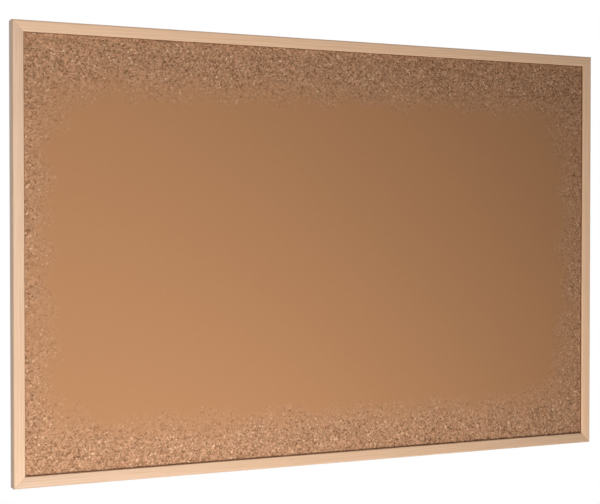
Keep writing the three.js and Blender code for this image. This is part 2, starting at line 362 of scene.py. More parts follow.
def growth_rings(tree, grain):
    """How dark the wood is by its growth rings, whose late wood differs from year to year."""
    _, inward, forward = parted(tree, grain)
    wobble = stretched_noise(tree, grain, RING_WAVES)
    across = maths(tree, "MULTIPLY_ADD", forward, RING_LEAN, inward)
    across = maths(tree, "MULTIPLY_ADD", wobble, RING_WOBBLE, across)
    rings = maths(tree, "DIVIDE", across, RING_SPACING)
    year = maths(tree, "FRACT", rings)
    darkening = ramp(tree, year, LATE_WOOD_STARTS, LATE_WOOD_DARKEST)
    ending = ramp(tree, year, LATE_WOOD_DARKEST, 1.0, 1.0, 0.0)
    late = times(tree, darkening, ending)
    which = maths(tree, "FLOOR", rings)
    growth = add_node(tree, "ShaderNodeTexWhiteNoise", {"W": which}, noise_dimensions="1D")
    share = ramp(tree, growth.outputs["Value"], 0.0, 1.0, FAINTEST_RING, 1.0, smooth=False)
    return times(tree, times(tree, late, share), RING_DARKNESS)


def lacquered_pine():
    """Pale softwood under a satin lacquer, with its grain along the stick."""
    material, tree, surface = new_material("lacquered_pine")
    grain = carried(tree, "grain", "Vector")
    fibres = stretched_noise(tree, grain, FIBRE_WAVES, detail=3.0, roughness=0.6)
    streaks = ramp(tree, fibres, *STREAK_EDGES)
    resin = ramp(tree, stretched_noise(tree, grain, RESIN_WAVES, detail=1.0), *RESIN_EDGES)
    dark = maths(tree, "MULTIPLY_ADD", streaks, STREAK_DARKNESS, growth_rings(tree, grain))
    colour = mix_colour(tree, dark, rgb(0.770, 0.508, 0.330), rgb(0.600, 0.360, 0.204))
    colour = tinted(tree, colour, resin, RESIN_DARKNESS, rgb(0.42, 0.24, 0.13))
    colour = tinted(tree, colour, carried(tree, "mitre"), GLUE_DARKNESS, rgb(0.30, 0.17, 0.09))
    # each stick's tone is painted light: paler where the lamps fall dimmer, darker where they fall brighter
    inputs = {0: colour, "Scale": carried(tree, "stick_tone")}
    toned = add_node(tree, "ShaderNodeVectorMath", inputs, operation="SCALE").outputs[0]
    fill_inputs(tree, surface, {
        "Base Color": toned,
        "Roughness": spread(tree, fibres, *PINE_ROUGHNESS),
        "Coat Weight": LACQUER,
        "Coat Roughness": LACQUER_ROUGHNESS,
    })
    relief = minus(tree, fibres, times(tree, resin, RESIN_DIP))
    dent(tree, surface, relief, PINE_RELIEF, strength=0.5)
    return material


def crumbs(tree, place, feature):
    """Crisp irregular cells, the same ones for each feature that is asked of them."""
    inputs = {"Vector": place, "Scale": CRUMBS_PER_METRE}
    return add_node(tree, "ShaderNodeTexVoronoi", inputs, feature=feature)


def cork_granulate():
    """Pressed cork: chips of several browns with voids painted dark as shade, fading to a smooth even
    middle.
    """
    material, tree, surface = new_material("cork_granulate")
    place = object_place(tree)
    grainy = carried(tree, "grainy")
    crumb = crumbs(tree, place, "F1").outputs["Color"]
    crumb_tone, crumb_hue, _ = add_node(tree, "ShaderNodeSeparateColor", {0: crumb}).outputs
    to_seam = crumbs(tree, place, "DISTANCE_TO_EDGE").outputs["Distance"]
    seam = ramp(tree, to_seam, 0.0, SEAM_WIDTH, 1.0, 0.0)
    specks = noise(tree, place, SPECKS_PER_METRE, detail=1.0, roughness=0.6)
    contrast = ramp(tree, grainy, 0.0, 1.0, RUBBED_CONTRAST, 1.0, smooth=False)

    patterns = [
        (carried(tree, "tone"), CHIP_CONTRAST),
        (crumb_tone, CRUMB_CONTRAST),
        (specks, SPECK_CONTRAST),
    ]
    chip = 0.0
    for pattern, strength in patterns:
        from_middle = minus(tree, pattern, 0.5)
        chip = maths(tree, "MULTIPLY_ADD", from_middle, strength, chip)
    shade = maths(tree, "MULTIPLY_ADD", chip, contrast, 0.5)

    even = mix_colour(tree, shade, rgb(0.232, 0.098, 0.036), rgb(0.523, 0.271, 0.133))
    russet = mix_colour(tree, shade, rgb(0.247, 0.100, 0.046), rgb(0.711, 0.377, 0.217))
    ochre = mix_colour(tree, shade, rgb(0.217, 0.112, 0.049), rgb(0.662, 0.403, 0.233))
    chips = mix_colour(tree, crumb_hue, russet, ochre)
    bark = maths(tree, "LESS_THAN", crumb_tone, BARK_SHARE)
    chips = tinted(tree, chips, bark, BARK_DARKNESS, rgb(0.137, 0.056, 0.025))
    fleck = maths(tree, "GREATER_THAN", crumb_tone, 1 - FLECK_SHARE)
    chips = tinted(tree, chips, fleck, FLECK_PALENESS, rgb(0.819, 0.555, 0.364))
    chips = tinted(tree, chips, seam, SEAM_DARKNESS, rgb(0.155, 0.066, 0.028))
    colour = mix_colour(tree, grainy, even, chips)
    # painted shade where the sheet is hollowed: voids between chips and the skived margin
    colour = tinted(tree, colour, carried(tree, "pit"), PIT_PAINTED_SHADE, rgb(0.127, 0.055, 0.024))
    fill_inputs(tree, surface, {
        "Base Color": colour,
        "Roughness": CORK_ROUGHNESS,
        "Specular IOR Level": CORK_SHINE,
    })
    relief = minus(tree, specks, times(tree, seam, SEAM_DIP))
    dent(tree, surface, times(tree, relief, contrast), CORK_RELIEF, strength=0.6)
    return material


def soft_fibreboard():
    """Open pressed fibre, pale brown."""
    material, tree, surface = new_material("soft_fibreboard")
    place = object_place(tree)
    fibres = stretched_noise(tree, place, FELT_WAVES, detail=4.0, roughness=0.65)
    clumps = noise(tree, place, CLUMPS_PER_METRE)
    share = weighed(tree, clumps, fibres, CLUMP_WEIGHT)
    fill_inputs(tree, surface, {
        "Base Color": mix_colour(tree, share, rgb(0.30, 0.20, 0.11), rgb(0.58, 0.43, 0.28)),
        "Roughness": FIBREBOARD_ROUGHNESS,
        "Specular IOR Level": FIBREBOARD_SHINE,
    })
    dent(tree, surface, fibres, FIBREBOARD_RELIEF, strength=0.7)
    return material


def sine_wave(tree, distance, pitch):
    """A wave from -1 to 1 that repeats in each pitch."""
    return maths(tree, "SINE", times(tree, distance, 2 * math.pi / pitch))


def screen_print(tree, place):
    """Marks of a plain woven wire screen, whose wires go over and under each other in turn."""
    x, _, z = parted(tree, place)
    crossing = times(tree, sine_wave(tree, x, 2 * SCREEN_PITCH), sine_wave(tree, z, 2 * SCREEN_PITCH))
    over = maths(tree, "MULTIPLY_ADD", crossing, 0.5, 0.5)
    under = minus(tree, 1.0, over)
    warp = times(tree, ramp(tree, sine_wave(tree, x, SCREEN_PITCH), 0.0, 1.0), over)
    weft = times(tree, ramp(tree, sine_wave(tree, z, SCREEN_PITCH), 0.0, 1.0), under)
    return maths(tree, "MAXIMUM", warp, weft)


def screen_backed_hardboard():
    """Dark hardboard whose rear keeps the print of the press's wire screen."""
    material, tree, surface = new_material("screen_backed_hardboard")
    place = object_place(tree)
    screen = screen_print(tree, place)
    fibres = stretched_noise(tree, place, PULP_WAVES, detail=4.0, roughness=0.7)
    clouds = noise(tree, place, CLOUDS_PER_METRE, detail=3.0)
    share = weighed(tree, clouds, fibres, CLOUD_WEIGHT)
    colour = mix_colour(tree, share, rgb(0.16, 0.082, 0.041), rgb(0.36, 0.205, 0.110))
    fill_inputs(tree, surface, {
        "Base Color": tinted(tree, colour, screen, SCREEN_DARKNESS, rgb(0.12, 0.058, 0.027)),
        "Roughness": spread(tree, fibres, *HARDBOARD_ROUGHNESS),
    })
    relief = minus(tree, times(tree, fibres, PULP_RELIEF), screen)
    dent(tree, surface, relief, HARDBOARD_RELIEF, strength=0.6)
    return material


def sheet_steel(name, dark, light, roughness):
    """Cold-rolled steel with rolling lines, a little handled."""
    material, tree, surface = new_material(name)
    place = object_place(tree)
    lines = stretched_noise(tree, place, ROLLING_WAVES, detail=3.0, roughness=0.6)
    smudges = noise(tree, place, SMUDGES_PER_METRE, detail=3.0, roughness=0.6)
    share = weighed(tree, smudges, lines, SMUDGE_WEIGHT)
    fill_inputs(tree, surface, {
        "Base Color": mix_colour(tree, share, dark, light),
        "Metallic": 1.0,
        "Roughness": spread(tree, smudges, *roughness),
    })
    dent(tree, surface, lines, STEEL_RELIEF, strength=0.35)
    return material


def blued_steel():
    return sheet_steel("blued_steel", rgb(0.11, 0.12, 0.135), rgb(0.24, 0.25, 0.27), BLUED_ROUGHNESS)


def nickel_steel():
    return sheet_steel("nickel_steel", rgb(0.50, 0.49, 0.47), rgb(0.72, 0.71, 0.69), NICKEL_ROUGHNESS)


# Making meshes

def new_object(name, mesh):
    made = bpy.data.objects.new(name, mesh)
    bpy.context.scene.collection.objects.link(made)
    return made


def mesh_from(bm, name):
    mesh = bpy.data.meshes.new(name)
    bm.to_mesh(mesh)
    bm.free()
    return mesh


def settled_mesh(worked):
    """The plain mesh that an object's modifiers give, with the object removed."""
    depsgraph = bpy.context.evaluated_depsgraph_get()
    mesh = bpy.data.meshes.new_from_object(worked.evaluated_get(depsgraph), depsgraph=depsgraph)
    bpy.data.objects.remove(worked)
    return mesh


def only(parts, kind):
    """Those of a mesh's parts that are of one kind."""
    return [part for part in parts if isinstance(part, kind)]


def round_edges(bm, edges, arris, clamped):
    bmesh.ops.bevel(bm, geom=edges, offset=arris, segments=ARRIS_STEPS, affect="EDGES",
                    profile=ARRIS_PROFILE, clamp_overlap=clamped)


def smooth_below(mesh, degrees):
    """Smooth shading with edges kept sharp where the faces turn by more than the angle."""
    mesh.shade_smooth()
    mesh.set_sharp_from_angle(angle=math.radians(degrees))


def arc(centre_x, centre_y, radius, start, end, steps):
    """Points on an arc, angles in degrees, both ends included."""
    turns = [math.radians(start + (end - start) * i / steps) for i in range(steps + 1)]
    return [(centre_x + radius * math.cos(turn), centre_y + radius * math.sin(turn)) for turn in turns]


def fit_piece(name, mesh, body, slot, *nodes):
    """A piece that moves with a body and shows in place of its CAD nodes, which it hides; the slot is not
    used.
    """
    piece = new_object(name, mesh)
    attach(piece, body)
    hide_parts(*nodes)


# Frame

def moulding_outline():
    """Section as (inward, forward) points: inward from the outer face, forward from the wall."""
    lip_back = board_depth - LIP_THICKNESS
    outline = [(BACK_ARRIS, 0), (REBATE_WALL, 0), (REBATE_WALL, lip_back), (rail_width, lip_back)]
    outline += arc(rail_width - SIGHT_ROUND, board_depth - SIGHT_ROUND, SIGHT_ROUND, 0, 90, ROUND_STEPS)
    outline += arc(OUTER_ROUND, board_depth - OUTER_ROUND, OUTER_ROUND, 90, 180, ROUND_STEPS)
    outline.append((0, BACK_ARRIS))
    return [Vector(point) for point in outline]


def eased(outline):
    """The outline drawn in all round by the easing of a mitre's edges."""
    drawn_in = []
    for i, point in enumerate(outline):
        before = (point - outline[i - 1]).normalized()
        after = (outline[(i + 1) % len(outline)] - point).normalized()
        inward = Vector((-before.y - after.y, before.x + after.x)).normalized()
        drawn_in.append(point + MITRE_EASE * inward)
    return drawn_in


class FrameSide:
    """One length of moulding: where it lies, and how its own directions turn into the board's."""

    def __init__(self, name, length, upright, far):
        self.name = name
        self.length = length
        self.upright = upright
        self.far = far  # on the right or at the top

    def place(self, along, inward, forward):
        if self.upright:
            x = board_high.x - inward if self.far else board_low.x + inward
            return Vector((x, board_high.y - forward, board_middle.z + along))
        z = board_high.z - inward if self.far else board_low.z + inward
        return Vector((board_middle.x + along, board_high.y - forward, z))

    def own(self, point):
        """(along, inward, forward) of a point on this side."""
        forward = board_high.y - point.y
        if self.upright:
            inward = board_high.x - point.x if self.far else point.x - board_low.x
            return Vector((point.z - board_middle.z, inward, forward))
        inward = board_high.z - point.z if self.far else point.z - board_low.z
        return Vector((point.x - board_middle.x, inward, forward))


def mitred_stick(side):
    """The moulding cut at 45 degrees at both ends, with the edges of the cuts eased."""
    outline = moulding_outline()
    drawn_in = eased(outline)
    setback = math.sqrt(2) * MITRE_EASE
    half = side.length / 2
    cuts = [
        (-1, drawn_in, 0),
        (-1, outline, setback),
        (1, outline, setback),
        (1, drawn_in, 0),
    ]
    bm = bmesh.new()
    rings = []
    for end, ring, back in cuts:
        points = [side.place(end * (half - inward - back), inward, forward) for inward, forward in ring]
        rings.append([bm.verts.new(point) for point in points])
    count = len(outline)
    for first, second in zip(rings, rings[1:]):
        for i in range(count):
            after = (i + 1) % count
            bm.faces.new((first[i], first[after], second[after], second[i]))
    bm.faces.new(rings[0])
    bm.faces.new(rings[-1])
    bmesh.ops.recalc_face_normals(bm, faces=bm.faces)
    return mesh_from(bm, side.name)


def add_box(bm, low, high):
    corners = bmesh.ops.create_cube(bm, size=1)["verts"]
    bmesh.ops.scale(bm, vec=high - low, verts=corners)
    bmesh.ops.translate(bm, vec=(low + high) / 2, verts=corners)


def nail_legs(corner):
    """The two legs of a corner's V-nail, level and upright, as boxes."""
    low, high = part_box("v_nail_" + corner)
    level_low, level_high = low.copy(), high.copy()
    upright_low, upright_high = low.copy(), high.copy()
    if "top" in corner:
        level_low.z = high.z - NAIL_SHEET
    else:
        level_high.z = low.z + NAIL_SHEET
    if "left" in corner:
        upright_high.x = low.x + NAIL_SHEET
    else:
        upright_low.x = high.x - NAIL_SHEET
    return (level_low, level_high), (upright_low, upright_high)


def slot_cutters(side, points):
    """Boxes that clear this side's V-nails and framer's points, each a little larger than its steel."""
    steel = [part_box(point) for point in points if side.name.startswith(point.split("_")[1])]
    for corner in ("top_left", "top_right", "bottom_left", "bottom_right"):
        level, upright = nail_legs(corner)
        if side.name.split("_")[0] in corner:
            steel.append(upright if side.upright else level)
    room = Vector((SLOT_CLEARANCE, SLOT_CLEARANCE, SLOT_CLEARANCE))
    bm = bmesh.new()
    for low, high in steel:
        add_box(bm, low - room, high + room)
    return new_object("slot_cutters", mesh_from(bm, "slot_cutters"))


def carry_grain(mesh, side):
    """Gives the stick its own grain, its painted tone that evens out the lamps' light, and mitre lines."""
    kinds = {"grain": "FLOAT_VECTOR", "stick_tone": "FLOAT", "mitre": "FLOAT"}
    for name, kind in kinds.items():
        mesh.attributes.new(name, kind, "POINT")
    grain, tone, mitre = [mesh.attributes[name] for name in kinds]
    grain_place = GRAIN_PLACES[side.name]
    near_tone, far_tone = PAINTED_STICK_TONES[side.name]
    for vertex in mesh.vertices:
        along, inward, forward = side.own(vertex.co)
        share = along / side.length + 0.5
        to_mitre = side.length / 2 - inward - abs(along)
        grain.data[vertex.index].vector = (along + grain_place, inward, forward)
        tone.data[vertex.index].value = near_tone + share * (far_tone - near_tone)
        mitre.data[vertex.index].value = 1.0 if to_mitre < MITRE_EASE / 2 else 0.0


def frame_sides(wood, points):
    sides = [
        FrameSide("top_rail", board_width, upright=False, far=True),
        FrameSide("bottom_rail", board_width, upright=False, far=False),
        FrameSide("left_stile", board_height, upright=True, far=False),
        FrameSide("right_stile", board_height, upright=True, far=True),
    ]
    for side in sides:
        stick = new_object(side.name + "_stick", mitred_stick(side))
        cutters = slot_cutters(side, points)
        cut = stick.modifiers.new("slots", "BOOLEAN")
        cut.operation = "DIFFERENCE"
        cut.object = cutters
        mesh = settled_mesh(stick)
        bpy.data.objects.remove(cutters)
        carry_grain(mesh, side)
        smooth_below(mesh, WOOD_CREASE)
        mesh.materials.clear()
        mesh.materials.append(wood)
        fit_piece(side.name + "_moulding", mesh, "board", "frame_wood", side.name)


# Geometry trees

def new_geometry_tree(name, sockets):
    """A geometry tree with named inputs, its start and its end."""
    tree = bpy.data.node_groups.new(name, "GeometryNodeTree")
    tree.interface.new_socket("Geometry", in_out="INPUT", socket_type="NodeSocketGeometry")
    for socket_name, kind in sockets:
        tree.interface.new_socket(socket_name, in_out="INPUT", socket_type="NodeSocket" + kind)
    tree.interface.new_socket("Geometry", in_out="OUTPUT", socket_type="NodeSocketGeometry")
    return tree, tree.nodes.new("NodeGroupInput").outputs, tree.nodes.new("NodeGroupOutput")


def end_tree(tree, geometry, material, end):
    """Plain geometry with its material, out of the tree."""
    plain = add_node(tree, "GeometryNodeRealizeInstances", {"Geometry": geometry}).outputs[0]
    inputs = {"Geometry": plain, "Material": material}
    painted = add_node(tree, "GeometryNodeSetMaterial", inputs).outputs[0]
    tree.links.new(painted, end.inputs[0])


def run_tree(tree, worked, values):
    """The plain mesh that a tree makes of an object, with its inputs set by name."""
    modifier = worked.modifiers.new(tree.name, "NODES")
    modifier.node_group = tree
    for item in tree.interface.items_tree:
        if item.in_out == "INPUT" and item.name in values:
            modifier[item.identifier] = values[item.name]
    return settled_mesh(worked)


def drawn(tree, start, turn, low, high):
    """A random number for each element, from the tree's seed and the turn of this draw."""
    seed = maths(tree, "ADD", start["Seed"], float(turn))
    inputs = {2: low, 3: high, 8: seed}
    return add_node(tree, "FunctionNodeRandomValue", inputs, data_type="FLOAT").outputs[1]


def stored(tree, geometry, name, domain, value, selection=True):
    inputs = {"Geometry": geometry, "Name": name, "Value": value, "Selection": selection}
    node = add_node(tree, "GeometryNodeStoreNamedAttribute", inputs, data_type="FLOAT", domain=domain)
    return node.outputs[0]


def read_back(tree, name, kind="FLOAT"):
    node = add_node(tree, "GeometryNodeInputNamedAttribute", {"Name": name}, data_type=kind)
    return node.outputs[0]


def position(tree):
    return add_node(tree, "GeometryNodeInputPosition").outputs[0]


# Cork sheet

def on_rim(tree, distance, half):
    """1 on the two rims that lie half a side from the sheet's middle."""
    return maths(tree, "GREATER_THAN", maths(tree, "ABSOLUTE", distance), minus(tree, half, RIM_NEAR))


def strayed_grid(tree, start):
    """A grid whose inner corners stray, with every other row half a granule further on."""
    sizes = {"Size X": start["Width"], "Size Y": start["Height"],
             "Vertices X": start["Columns"], "Vertices Y": start["Rows"]}
    grid = add_node(tree, "GeometryNodeMeshGrid", sizes).outputs[0]
    x, y, _ = parted(tree, position(tree))
    half_width = maths(tree, "DIVIDE", start["Width"], 2.0)
    half_height = maths(tree, "DIVIDE", start["Height"], 2.0)
    rims = maths(tree, "ADD", on_rim(tree, x, half_width), on_rim(tree, y, half_height))
    inside = maths(tree, "LESS_THAN", rims, 0.5)
    row_pitch = maths(tree, "DIVIDE", start["Height"], minus(tree, start["Rows"], 1.0))
    from_end = maths(tree, "ADD", y, half_height)
    row = maths(tree, "ROUND", maths(tree, "DIVIDE", from_end, row_pitch))
    stagger = minus(tree, maths(tree, "MODULO", row, 2.0), 0.5)
    reach = times(tree, start["Granule"], start["Wander"])
    stray_x = times(tree, drawn(tree, start, 0, -1.0, 1.0), reach)
    stray_y = times(tree, drawn(tree, start, 1, -1.0, 1.0), reach)
    half_granule = times(tree, start["Granule"], 0.5)
    shift_x = maths(tree, "MULTIPLY_ADD", stagger, half_granule, stray_x)
    shift = add_node(tree, "ShaderNodeCombineXYZ", {0: shift_x, 1: stray_y}).outputs[0]
    inputs = {"Geometry": grid, "Selection": inside, "Offset": shift}
    return add_node(tree, "GeometryNodeSetPosition", inputs).outputs[0]


def graininess(tree, start):
    """1 beside the frame, falling over a ragged border to 0 in the smooth middle."""
    place = position(tree)
    x, y, _ = parted(tree, place)
    aside = maths(tree, "ADD", x, start["Smooth Left"])
    height = maths(tree, "ADD", y, start["Smooth Drop"])
    from_side = minus(tree, start["Sight Half Width"], maths(tree, "ABSOLUTE", aside))
    from_end = minus(tree, start["Sight Half Height"], maths(tree, "ABSOLUTE", height))
    side_wear = maths(tree, "DIVIDE", from_side, start["Fade Sides"])
    side_wear = maths(tree, "ADD", side_wear, start["Worn Sides"])
    end_wear = maths(tree, "DIVIDE", from_end, start["Fade Ends"])
    wear = maths(tree, "SMOOTH_MIN", side_wear, end_wear, SMOOTH_CORNERS)
    drift = minus(tree, noise(tree, place, BORDER_WAVES, detail=3.0, roughness=0.6), 0.5)
    wear = maths(tree, "MULTIPLY_ADD", drift, BORDER_DRIFT, wear)
    rough = ramp(tree, wear, WEAR_SHOWS, WEAR_ENDS, 1.0, 0.0)
    return times(tree, rough, maths(tree, "GREATER_THAN", rough, start["Rubbed Below"]))


def pitted(tree, start, chips, grainy):
    """Chips with voids at some of their corners and the others a little out of level."""
    hollow = maths(tree, "LESS_THAN", drawn(tree, start, 3, 0.0, 1.0), start["Pit Share"])
    hollow = times(tree, hollow, drawn(tree, start, 4, SHALLOWEST_PIT, 1.0))
    hollow = maths(tree, "MAXIMUM", hollow, drawn(tree, start, 7, 0.0, DEEPEST_DIMPLE))
    # how hollow each corner is, which sets its depth and also paints shade into it
    chips = stored(tree, chips, "pit", "POINT", times(tree, hollow, grainy))
    depth = times(tree, read_back(tree, "pit"), start["Pit Depth"])
    tilt = times(tree, drawn(tree, start, 5, -1.0, 1.0), start["Tilt"])
    level = minus(tree, times(tree, tilt, grainy), depth)
    rise = add_node(tree, "ShaderNodeCombineXYZ", {2: level}).outputs[0]
    return add_node(tree, "GeometryNodeSetPosition", {"Geometry": chips, "Offset": rise}).outputs[0]


def crowned(tree, start, chips, grainy):
    """Chips whose middles stand up to a point, where the sheet is grainy."""
    standing = maths(tree, "GREATER_THAN", grainy, 0.0)
    crown = times(tree, drawn(tree, start, 6, LOWEST_CROWN, 1.0), start["Crown"])
    inputs = {"Mesh": chips, "Selection": standing, "Offset Scale": times(tree, crown, grainy),
              "Individual": True}
    raised = add_node(tree, "GeometryNodeExtrudeMesh", inputs, mode="FACES").outputs
    inputs = {"Geometry": raised["Mesh"], "Selection": raised["Top"], "Scale": 0.0}
    pointed = add_node(tree, "GeometryNodeScaleElements", inputs, domain="FACE").outputs[0]
    sheet = stored(tree, pointed, "pit", "POINT", 0.0, raised["Top"])
    inputs = {"Geometry": sheet, "Selection": raised["Top"], "Distance": SAME_PLACE}
    return add_node(tree, "GeometryNodeMergeByDistance", inputs).outputs[0]


def granule_tree():
    """Lays a sheet of irregular chips in XY, pitted and uneven near its edges and flat in its middle."""
    tree, start, end = new_geometry_tree("cork_granules", [
        ("Width", "Float"), ("Height", "Float"), ("Columns", "Int"), ("Rows", "Int"),
        ("Granule", "Float"), ("Wander", "Float"), ("Crown", "Float"), ("Tilt", "Float"),
        ("Pit Depth", "Float"), ("Pit Share", "Float"), ("Rubbed Below", "Float"),
        ("Sight Half Width", "Float"), ("Sight Half Height", "Float"), ("Smooth Drop", "Float"),
        ("Smooth Left", "Float"), ("Worn Sides", "Float"), ("Fade Sides", "Float"), ("Fade Ends", "Float"),
        ("Seed", "Int"), ("Finish", "Material"),
    ])
    split = add_node(tree, "GeometryNodeTriangulate", {0: strayed_grid(tree, start)}).outputs[0]
    chips = add_node(tree, "GeometryNodeDualMesh", {0: split, 1: True}).outputs[0]
    chips = stored(tree, chips, "tone", "FACE", drawn(tree, start, 2, 0.0, 1.0))
    chips = stored(tree, chips, "grainy", "POINT", graininess(tree, start))
    grainy = read_back(tree, "grainy")
    chips = pitted(tree, start, chips, grainy)
    end_tree(tree, crowned(tree, start, chips, grainy), start["Finish"], end)
    return tree


def skived(bm):
    """Thins the sheet's margin, which the lip covers all but a narrow line of, and paints that margin dark
    as shade.
    """
    pit = bm.verts.layers.float["pit"]
    lip = Vector((rail_width, 0, rail_width))
    sight_low = board_low + lip
    sight_high = board_high - lip
    margins = [
        (Vector((-1, 0, 0)), -sight_low.x - SKIVE_SIDES),
        (Vector((1, 0, 0)), sight_high.x - SKIVE_SIDES),
        (Vector((0, 0, -1)), -sight_low.z - SKIVE_BOTTOM),
        (Vector((0, 0, 1)), sight_high.z - SKIVE_TOP),
    ]
    for outward, reach in margins:
        for start in (reach, reach + SKIVE_SLOPE):
            everything = bm.verts[:] + bm.edges[:] + bm.faces[:]
            bmesh.ops.bisect_plane(bm, geom=everything, dist=CUT_TOLERANCE,
                                   plane_co=outward * start, plane_no=outward)
    for vert in bm.verts:
        past = max(outward.dot(vert.co) - reach for outward, reach in margins)
        if past > SKIVE_SLOPE - SAME_PLACE:
            vert.co.y += SKIVE_DEPTH
            # painted shade in the sunken margin
            vert[pit] = SKIVE_PAINTED_SHADE


def finish_sheet(mesh, rear):
    """Few faces where the sheet is flat, crisp edges between chips, walls from its rim and a back."""
    bm = bmesh.new()
    bm.from_mesh(mesh)
    grainy = bm.verts.layers.float["grainy"]
    tone = bm.faces.layers.float["tone"]
    middle_tone = 0.5
    flat = [face for face in bm.faces if all(vert[grainy] == 0 for vert in face.verts)]
    around = dict.fromkeys(edge for face in flat for edge in face.edges)  # each once, in order
    bmesh.ops.delete(bm, geom=flat, context="FACES")
    around = [edge for edge in around if edge.is_valid and edge.is_boundary]
    filled = bmesh.ops.triangle_fill(bm, edges=around, use_beauty=True)["geom"]
    for face in only(filled, bmesh.types.BMFace):
        face[tone] = middle_tone
    skived(bm)
    for edge in bm.edges:
        edge.smooth = len({face[tone] for face in edge.link_faces}) < 2
    rim = [edge for edge in bm.edges if edge.is_boundary]
    skirt = bmesh.ops.extrude_edge_only(bm, edges=rim)["geom"]
    for vert in only(skirt, bmesh.types.BMVert):
        vert.co.y = rear
    hem = [edge for edge in only(skirt, bmesh.types.BMEdge) if edge.is_boundary]
    bmesh.ops.edgeloop_fill(bm, edges=hem)
    for edge in rim + hem:
        edge.smooth = False
    bmesh.ops.recalc_face_normals(bm, faces=bm.faces)
    for face in bm.faces:
        face.smooth = True
    bm.to_mesh(mesh)
    bm.free()


def cork_sheet(finish):
    low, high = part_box("cork_sheet")
    width = high.x - low.x
    height = high.z - low.z
    row_spacing = GRANULE * math.sin(math.pi / 3)
    values = {
        "Width": width,
        "Height": height,
        "Columns": round(width / GRANULE) + 1,
        "Rows": round(height / row_spacing) + 1,
        "Granule": GRANULE,
        "Wander": GRANULE_WANDER,
        "Crown": GRANULE_CROWN,
        "Tilt": GRANULE_TILT,
        "Pit Depth": PIT_DEPTH,
        "Pit Share": PIT_SHARE,
        "Rubbed Below": RUBBED_BELOW,
        "Sight Half Width": board_width / 2 - rail_width,
        "Sight Half Height": board_height / 2 - rail_width,
        "Smooth Drop": SMOOTH_DROP,
        "Smooth Left": SMOOTH_LEFT,
        "Worn Sides": WORN_SIDES,
        "Fade Sides": FADE_SIDES,
        "Fade Ends": FADE_ENDS,
        "Seed": GRANULE_SEED,
        "Finish": finish,
    }
    blank = new_object("cork_start", bpy.data.meshes.new("cork_start"))
    mesh = run_tree(granule_tree(), blank, values)
    upright = Matrix.Rotation(math.pi / 2, 4, "X")
    middle = Vector((board_middle.x, low.y, (low.z + high.z) / 2))
    mesh.transform(Matrix.Translation(middle) @ upright)
    finish_sheet(mesh, high.y)
    fit_piece("cork_face", mesh, "board", "cork", "cork_sheet")


# Framer's points

def point_tab():
    """One flat steel point with its tip up and its tab down, lying on y = 0, as an unseen pattern."""
    low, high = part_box("point_top_1")
    half = (high.x - low.x) / 2
    tab = POINT_BITE - (high.z - low.z)
    outline = [(0, POINT_BITE), (-half, POINT_BITE - POINT_TAPER)]
    outline += arc(POINT_ROUND - half, tab + POINT_ROUND, POINT_ROUND, 180, 270, ROUND_STEPS)
    outline += arc(half - POINT_ROUND, tab + POINT_ROUND, POINT_ROUND, 270, 360, ROUND_STEPS)
    outline.append((half, POINT_BITE - POINT_TAPER))
    bm = bmesh.new()
    face = bm.faces.new([bm.verts.new((x, 0, z)) for x, z in outline])
    thick = bmesh.ops.extrude_face_region(bm, geom=[face])["geom"]
    bmesh.ops.translate(bm, vec=(0, high.y - low.y, 0), verts=only(thick, bmesh.types.BMVert))
    bmesh.ops.recalc_face_normals(bm, faces=bm.faces)
    rims = [edge for edge in bm.edges if edge.calc_face_angle() > math.radians(POINT_RIM)]
    round_edges(bm, rims, POINT_ARRIS, clamped=False)
    mesh = mesh_from(bm, "point_tab")
    smooth_below(mesh, STEEL_CREASE)
    return new_object("point_tab", mesh)


def point_places(points):
    """A dot where each point enters the wood, with the turn that sends its tip outwards."""
    half_turns = {"top": 0.0, "right": 0.5, "bottom": 1.0, "left": 1.5}
    places = []
    turns = []
    for name in points:
        low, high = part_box(name)
        middle = (low + high) / 2
        side = name.split("_")[1]
        wall = {
            "top": (middle.x, low.y, high.z - POINT_BITE),
            "bottom": (middle.x, low.y, low.z + POINT_BITE),
            "left": (low.x + POINT_BITE, low.y, middle.z),
            "right": (high.x - POINT_BITE, low.y, middle.z),
        }
        places.append(wall[side])
        turns.append(half_turns[side] * math.pi)
    mesh = bpy.data.meshes.new("point_places")
    mesh.from_pydata(places, [], [])
    turn = mesh.attributes.new("turn", "FLOAT_VECTOR", "POINT")
    for i, angle in enumerate(turns):
        turn.data[i].vector = (0, angle, 0)
    return new_object("framers_points_start", mesh)


def framers_points(finish, points):
    tree, start, end = new_geometry_tree("framers_points", [("Point", "Object"), ("Finish", "Material")])
    pattern = add_node(tree, "GeometryNodeObjectInfo", {"Object": start["Point"]}).outputs["Geometry"]
    turn = read_back(tree, "turn", "FLOAT_VECTOR")
    turned = add_node(tree, "FunctionNodeEulerToRotation", {0: turn}).outputs[0]
    inputs = {"Points": start["Geometry"], "Instance": pattern, "Rotation": turned}
    driven = add_node(tree, "GeometryNodeInstanceOnPoints", inputs).outputs[0]
    end_tree(tree, driven, start["Finish"], end)
    tab = point_tab()
    mesh = run_tree(tree, point_places(points), {"Point": tab, "Finish": finish})
    bpy.data.objects.remove(tab)
    fit_piece("framers_points", mesh, "board", "blued_steel", *points)


# Hangers

def ring_path(node):
    """Middle line of a D-shaped ring of bent wire, from one butt end round to the other."""
    low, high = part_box(node)
    middle = (low + high) / 2
    half = (high.x - low.x) / 2 - WIRE_RADIUS
    bar = high.z - WIRE_RADIUS
    bow = low.z + WIRE_RADIUS + half
    corner = half - RING_CORNER
    line = [(RING_BUTT_GAP / 2, bar)]
    line += arc(corner, bar - RING_CORNER, RING_CORNER, 90, 0, BEND_STEPS)
    line += arc(0, bow, half, 0, -180, BOW_STEPS)
    line += arc(-corner, bar - RING_CORNER, RING_CORNER, 180, 90, BEND_STEPS)
    line.append((-RING_BUTT_GAP / 2, bar))
    return [Vector((middle.x + x, middle.y, z)) for x, z in line]


